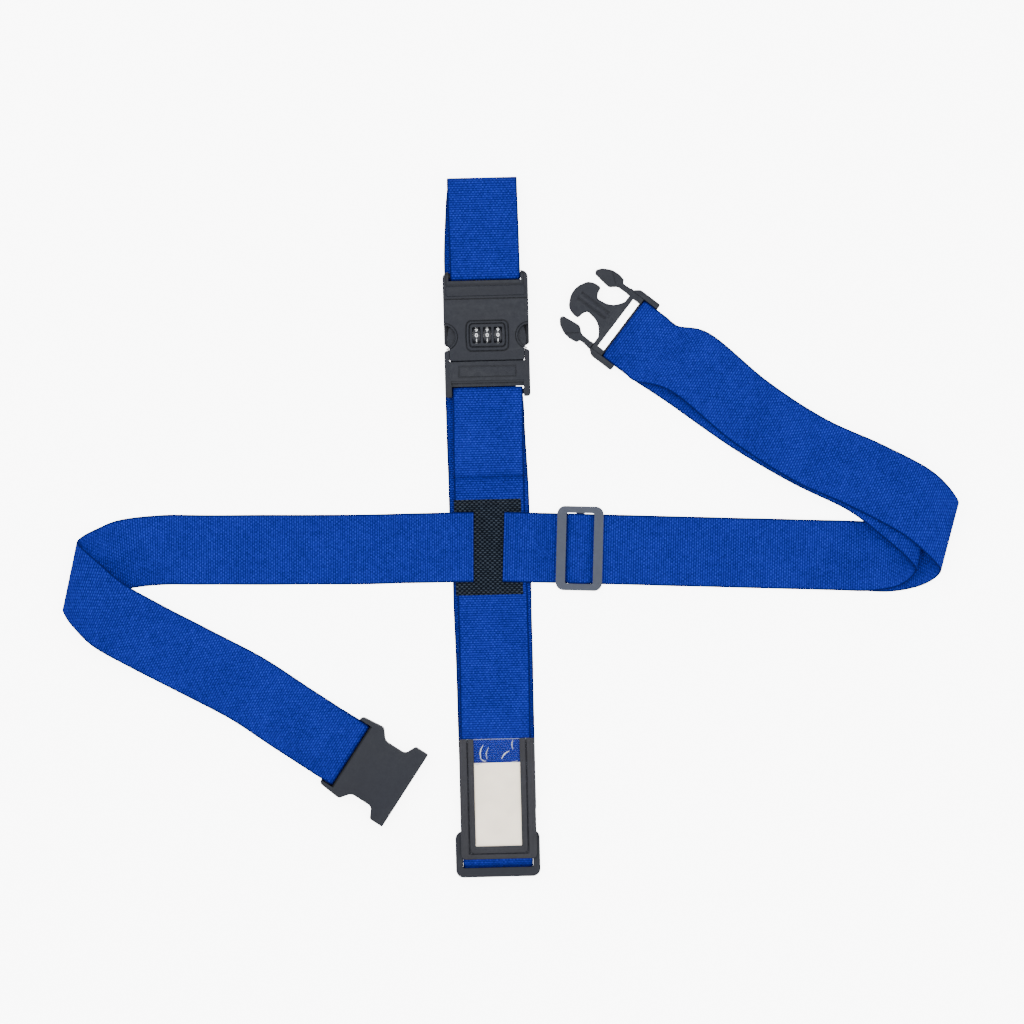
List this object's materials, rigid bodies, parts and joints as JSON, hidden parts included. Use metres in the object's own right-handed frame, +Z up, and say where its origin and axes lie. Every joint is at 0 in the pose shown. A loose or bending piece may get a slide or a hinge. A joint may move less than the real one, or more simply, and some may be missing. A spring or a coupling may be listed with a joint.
{
  "type": "luggage strap",
  "caption": "Cross-shaped blue webbing luggage strap with a combination lock on a closed loop, a side-release buckle on the arms, adjuster slides and an ID pocket.",
  "frame": {"origin": "the crossing of the straps, on the resting plane, under the middle of the crossing patch", "axes": "+X along the horizontal arms towards the adjuster slide, +Y up the vertical strap towards the lock, +Z up from the surface that the strap lies on"},
  "size_m": [0.6379, 0.5002, 0.0194],
  "materials": {
    "webbing": "royal blue woven polypropylene webbing",
    "plastic": "charcoal moulded acetal",
    "dial": "black dials with white digits",
    "inner_plastic": "natural acetal, inside the lock",
    "steel": "bright drawn wire",
    "patch": "black coarse woven patch",
    "vinyl": "black grained vinyl with a sewn edge",
    "clear_vinyl": "clear soft vinyl",
    "card": "plain cream card"
  },
  "bodies": {
    "root": {"strap_top_fold": "webbing", "strap_back_run": "webbing", "strap_lock_loop": "webbing", "strap_bottom_turn": "webbing", "strap_front_run": "webbing", "strap_return_run": "webbing", "strap_plug_loop": "webbing", "left_arm_run": "webbing", "left_arm_fold": "webbing", "left_arm_return": "webbing", "left_arm_buckle_loop": "webbing", "right_arm_root": "webbing", "right_run_lower": "webbing", "right_run_upper": "webbing", "right_fold_outer": "webbing", "right_fold_inner": "webbing", "right_return_upper": "webbing", "right_return_lower": "webbing", "right_arm_buckle_loop": "webbing", "lock_cover": "plastic", "lock_base": "plastic", "dial_shaft": "steel", "bolt_spring": "steel", "crossing_patch": "patch", "pocket_binding": "vinyl", "pocket_base_band": "vinyl", "pocket_window": "clear_vinyl"},
    "dial_1": {"dial_1": "dial", "dial_sleeve_1": "inner_plastic"},
    "dial_2": {"dial_2": "dial", "dial_sleeve_2": "inner_plastic"},
    "dial_3": {"dial_3": "dial", "dial_sleeve_3": "inner_plastic"},
    "lock_bolt": {"lock_bolt": "inner_plastic"},
    "plug": {"lock_plug": "plastic"},
    "plug_latch_left": {"plug_prong_left": "plastic"},
    "plug_latch_right": {"plug_prong_right": "plastic"},
    "right_slide": {"right_slide": "plastic", "right_slide_strap": "webbing", "right_slide_loop": "webbing"},
    "bottom_slide": {"bottom_slide": "plastic"},
    "female_buckle": {"female_buckle": "plastic"},
    "male_buckle": {"male_buckle": "plastic"},
    "male_prong_left": {"male_prong_left": "plastic"},
    "male_prong_right": {"male_prong_right": "plastic"},
    "id_card": {"id_card": "card"}
  },
  "joints": [
    {"name": "dial_1_spin", "type": "hinge", "parent": "root", "child": "dial_1", "pos_m": [-0.00993, 0.1505, 0.00995], "axis": [0.9997, 0.0244, 0], "continuous": true},
    {"name": "dial_2_spin", "type": "hinge", "parent": "root", "child": "dial_2", "pos_m": [-0.00228, 0.15069, 0.00995], "axis": [0.9997, 0.0244, 0], "continuous": true},
    {"name": "dial_3_spin", "type": "hinge", "parent": "root", "child": "dial_3", "pos_m": [0.00536, 0.15088, 0.00995], "axis": [0.9997, 0.0244, 0], "continuous": true},
    {"name": "plug_pull", "type": "slide", "parent": "root", "child": "plug", "axis": [0.0244, -0.9997, 0], "range_m": [0, 0.038], "deforming": ["strap_plug_loop"]},
    {"name": "plug_latch_left_squeeze", "type": "hinge", "parent": "plug", "child": "plug_latch_left", "pos_m": [-0.02154, 0.13251, 0.0088], "axis": [0, 0, -1], "range_deg": [0, 10], "stiffness_Nm_per_rad": 0.2},
    {"name": "plug_latch_right_squeeze", "type": "hinge", "parent": "plug", "child": "plug_latch_right", "pos_m": [0.01684, 0.13345, 0.0088], "axis": [0, 0, 1], "range_deg": [0, 10], "stiffness_Nm_per_rad": 0.2},
    {"name": "bolt_lift", "type": "slide", "parent": "root", "child": "lock_bolt", "axis": [-0.0244, 0.9997, 0], "range_m": [0, 0.003], "deforming": ["bolt_spring"]},
    {"name": "right_slide_travel", "type": "slide", "parent": "root", "child": "right_slide", "axis": [0.9997, -0.0253, 0], "range_m": [-0.01, 0.1], "deforming": ["right_slide_strap", "right_slide_loop", "right_run_lower", "right_run_upper", "right_arm_root"]},
    {"name": "bottom_slide_travel", "type": "slide", "parent": "root", "child": "bottom_slide", "axis": [-0.0244, 0.9997, 0], "range_m": [0, 0.06], "deforming": ["strap_bottom_turn", "strap_return_run", "strap_front_run"]},
    {"name": "female_buckle_swivel", "type": "hinge", "parent": "root", "child": "female_buckle", "pos_m": [-0.10236, -0.14676, 0.0062], "axis": [-0.5402, -0.8415, 0], "range_deg": [0, 75]},
    {"name": "male_buckle_swivel", "type": "hinge", "parent": "root", "child": "male_buckle", "pos_m": [0.09732, 0.1538, 0.0054], "axis": [0.6046, 0.7965, 0], "range_deg": [0, 75]},
    {"name": "male_prong_left_squeeze", "type": "hinge", "parent": "male_buckle", "child": "male_prong_left", "pos_m": [0.1001, 0.18094, 0.0054], "axis": [0, 0, 1], "range_deg": [0, 8], "stiffness_Nm_per_rad": 0.3},
    {"name": "male_prong_right_squeeze", "type": "hinge", "parent": "male_buckle", "child": "male_prong_right", "pos_m": [0.07193, 0.14383, 0.0054], "axis": [0, 0, -1], "range_deg": [0, 8], "stiffness_Nm_per_rad": 0.3},
    {"name": "id_card_pull", "type": "slide", "parent": "root", "child": "id_card", "axis": [-0.0244, 0.9997, 0], "range_m": [0, 0.08]}
  ],
  "couplings": [
    {"joint": "plug_latch_right_squeeze", "follows": "plug_latch_left_squeeze", "ratio": 1},
    {"joint": "bolt_lift", "follows": "plug_latch_left_squeeze", "m_per_rad": 0.0143}
  ]
}
